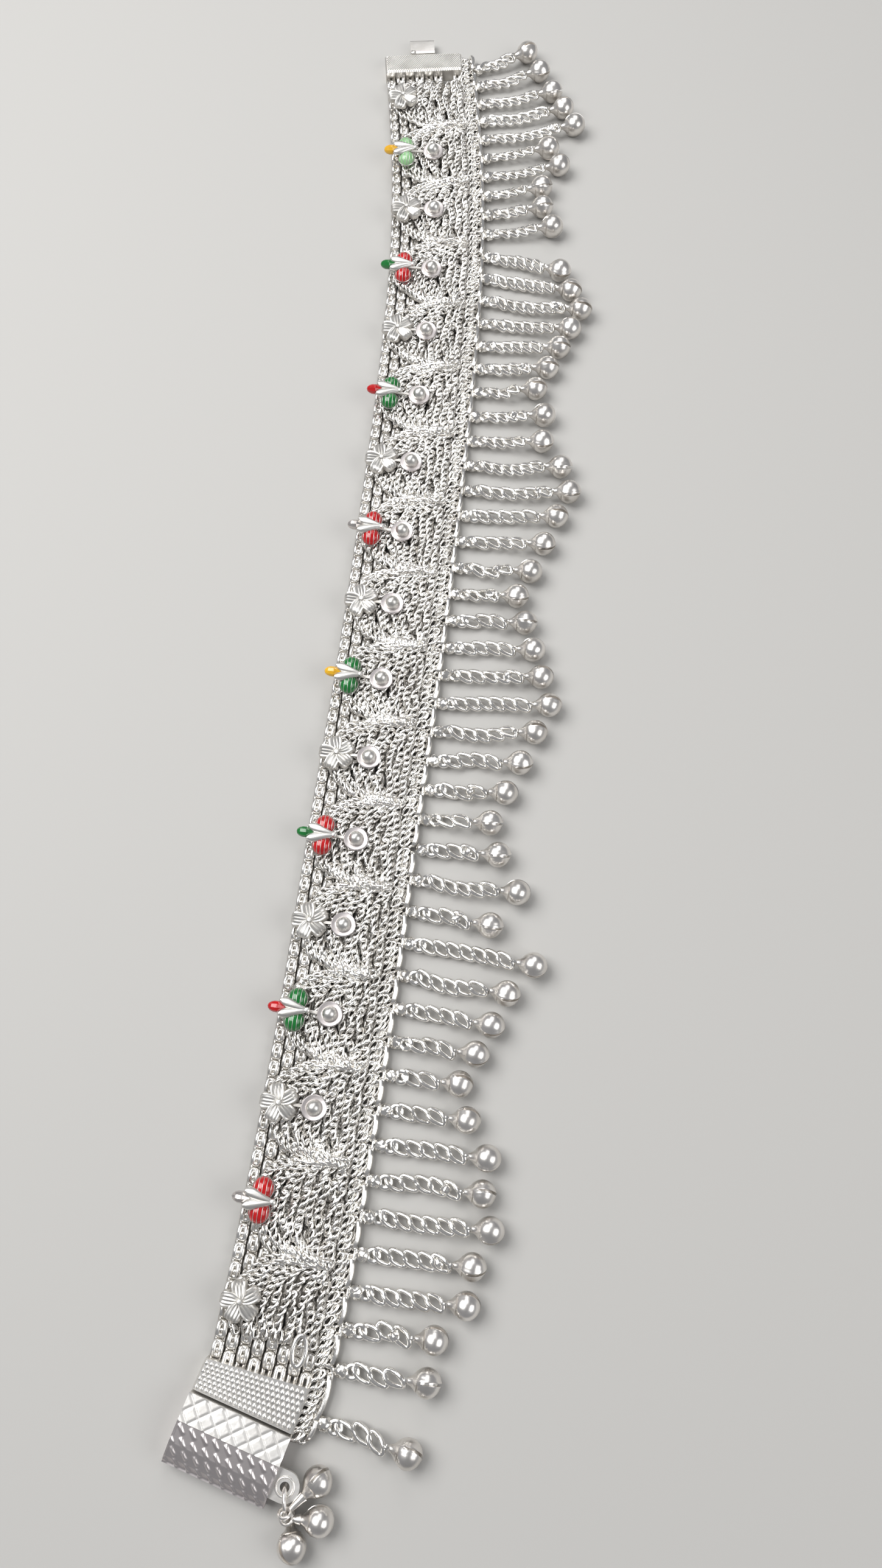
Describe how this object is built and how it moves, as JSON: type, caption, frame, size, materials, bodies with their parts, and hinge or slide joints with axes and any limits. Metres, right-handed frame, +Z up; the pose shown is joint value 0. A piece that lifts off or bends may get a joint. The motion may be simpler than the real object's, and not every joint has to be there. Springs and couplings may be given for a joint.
{
  "type": "payal anklet",
  "caption": "Silver payal anklet lying open: woven band with flower and enamel bud motifs, swags of fine chain, a fringe of ghungroo bells along one edge, and a box clasp.",
  "frame": {"origin": "middle of the flat underside of the dotted end bar, beside the clasp box", "axes": "+Y along the anklet from the clasp box to the tongue, +X towards the fringe of bells, +Z up from the surface it lies on"},
  "size_m": [0.0688, 0.277, 0.005],
  "materials": {
    "silver": "bright silver, darker between the links",
    "enamel_red": "translucent red enamel over fine ribs",
    "enamel_green": "translucent green enamel over fine ribs",
    "enamel_yellow": "translucent yellow enamel on the bud's tip"
  },
  "bodies": {
    "root": {"woven_band": "silver", "tongue_bar": "silver", "tongue": "silver", "end_bar": "silver", "clasp_box": "silver", "clasp_ring": "silver", "clasp_bell_1": "silver", "clasp_bell_2": "silver", "clasp_bell_3": "silver", "swag_01": "silver", "fringe_01": "silver", "swag_02": "silver", "fringe_02": "silver", "swag_03": "silver", "fringe_03": "silver", "swag_04": "silver", "fringe_04": "silver", "swag_05": "silver", "fringe_05": "silver", "swag_06": "silver", "fringe_06": "silver", "swag_07": "silver", "fringe_07": "silver", "swag_08": "silver", "fringe_08": "silver", "swag_09": "silver", "fringe_09": "silver", "swag_10": "silver", "fringe_10": "silver", "swag_11": "silver", "fringe_11": "silver", "swag_12": "silver", "fringe_12": "silver", "swag_13": "silver", "fringe_13": "silver", "swag_14": "silver", "fringe_14": "silver", "swag_15": "silver", "fringe_15": "silver", "swag_16": "silver", "fringe_16": "silver", "swag_17": "silver", "fringe_17": "silver", "flower_01": "silver", "flower_02": "silver", "flower_03": "silver", "flower_04": "silver", "flower_05": "silver", "flower_06": "silver", "flower_07": "silver", "flower_08": "silver", "flower_09": "silver", "enamel_bud_01": "enamel_red", "enamel_bud_02": "enamel_green", "enamel_bud_03": "enamel_red", "enamel_bud_04": "enamel_green", "enamel_bud_05": "enamel_red", "enamel_bud_06": "enamel_green", "enamel_bud_07": "enamel_red", "enamel_bud_08": "enamel_green"}
  },
  "joints": []
}
